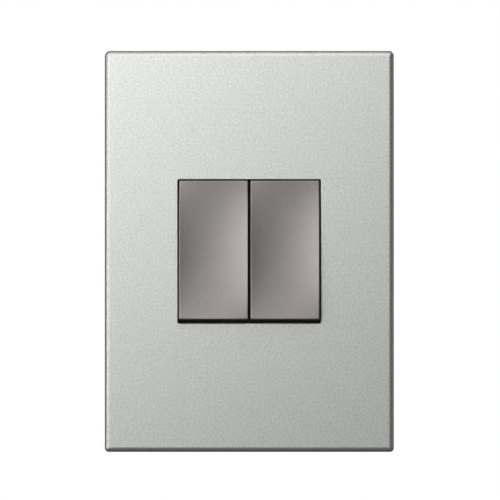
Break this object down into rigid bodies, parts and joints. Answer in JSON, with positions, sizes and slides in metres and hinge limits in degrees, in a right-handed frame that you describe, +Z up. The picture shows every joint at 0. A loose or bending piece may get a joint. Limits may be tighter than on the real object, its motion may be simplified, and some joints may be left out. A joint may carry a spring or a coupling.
{
  "type": "rocker wall switch",
  "caption": "Double rocker wall switch: flat satin metal cover plate, two tall pivoting paddles side by side, steel mounting strap and switch housings with contacts behind.",
  "frame": {"origin": "on the wall's surface, behind the middle of the cover plate", "axes": "+X to the viewer's right, +Y into the wall, +Z up"},
  "size_m": [0.094, 0.0392, 0.1302],
  "materials": {
    "satin_silver": "satin",
    "warm_grey_metallic": "satin",
    "black_plastic": "matte",
    "grey_thermoset": "matte",
    "ivory_nylon": "satin",
    "zinc_steel": "satin",
    "screw_steel": "polished",
    "green_screw": "satin",
    "brass": "satin",
    "contact_silver": "polished",
    "vulcanised_fibre": "matte"
  },
  "bodies": {
    "base": {"wall_plate": "satin_silver", "plate_carrier": "black_plastic", "mounting_strap": "zinc_steel", "box_screw_top": "screw_steel", "box_screw_bottom": "screw_steel", "screw_retainer_top": "vulcanised_fibre", "screw_retainer_bottom": "vulcanised_fibre", "ground_clamp": "zinc_steel", "ground_screw": "green_screw", "left_switch_bezel": "black_plastic", "left_switch_housing": "grey_thermoset", "left_pivot_pin": "screw_steel", "left_common_terminal": "brass", "left_load_terminal": "brass", "left_fixed_contact": "contact_silver", "left_common_clamp": "zinc_steel", "left_common_screw": "brass", "left_load_clamp": "zinc_steel", "left_load_screw": "brass", "right_switch_bezel": "black_plastic", "right_switch_housing": "grey_thermoset", "right_pivot_pin": "screw_steel", "right_common_terminal": "brass", "right_load_terminal": "brass", "right_fixed_contact": "contact_silver", "right_common_clamp": "zinc_steel", "right_common_screw": "brass", "right_load_clamp": "zinc_steel", "right_load_screw": "brass"},
    "left_rocker": {"left_paddle": "warm_grey_metallic", "left_paddle_cradle": "ivory_nylon", "left_plunger_spring": "screw_steel"},
    "left_plunger": {"left_contact_plunger": "ivory_nylon"},
    "left_lever": {"left_contact_lever": "brass", "left_moving_contact": "contact_silver"},
    "right_rocker": {"right_paddle": "warm_grey_metallic", "right_paddle_cradle": "ivory_nylon", "right_plunger_spring": "screw_steel"},
    "right_plunger": {"right_contact_plunger": "ivory_nylon"},
    "right_lever": {"right_contact_lever": "brass", "right_moving_contact": "contact_silver"}
  },
  "joints": [
    {"name": "left_rocker_pivot", "type": "hinge", "parent": "base", "child": "left_rocker", "pos_m": [-0.01157, -0.002, 0], "axis": [1, 0, 0], "range_deg": [0, 9]},
    {"name": "left_plunger_slide", "type": "slide", "parent": "left_rocker", "child": "left_plunger", "axis": [0, 0.9969, -0.0785], "range_m": [-0.0012, 0], "stiffness_N_per_m": 300, "deforming": ["left_plunger_spring"]},
    {"name": "left_lever_pivot", "type": "hinge", "parent": "base", "child": "left_lever", "pos_m": [-0.01157, 0.015, 0], "axis": [1, 0, 0], "range_deg": [-12, 0]},
    {"name": "right_rocker_pivot", "type": "hinge", "parent": "base", "child": "right_rocker", "pos_m": [0.01157, -0.002, 0], "axis": [1, 0, 0], "range_deg": [0, 9]},
    {"name": "right_plunger_slide", "type": "slide", "parent": "right_rocker", "child": "right_plunger", "axis": [0, 0.9969, -0.0785], "range_m": [-0.0012, 0], "stiffness_N_per_m": 300, "deforming": ["right_plunger_spring"]},
    {"name": "right_lever_pivot", "type": "hinge", "parent": "base", "child": "right_lever", "pos_m": [0.01157, 0.015, 0], "axis": [1, 0, 0], "range_deg": [-12, 0]}
  ],
  "couplings": [
    {"joint": "left_lever_pivot", "follows": "left_rocker_pivot", "ratio": -1.3333},
    {"joint": "right_lever_pivot", "follows": "right_rocker_pivot", "ratio": -1.3333}
  ]
}
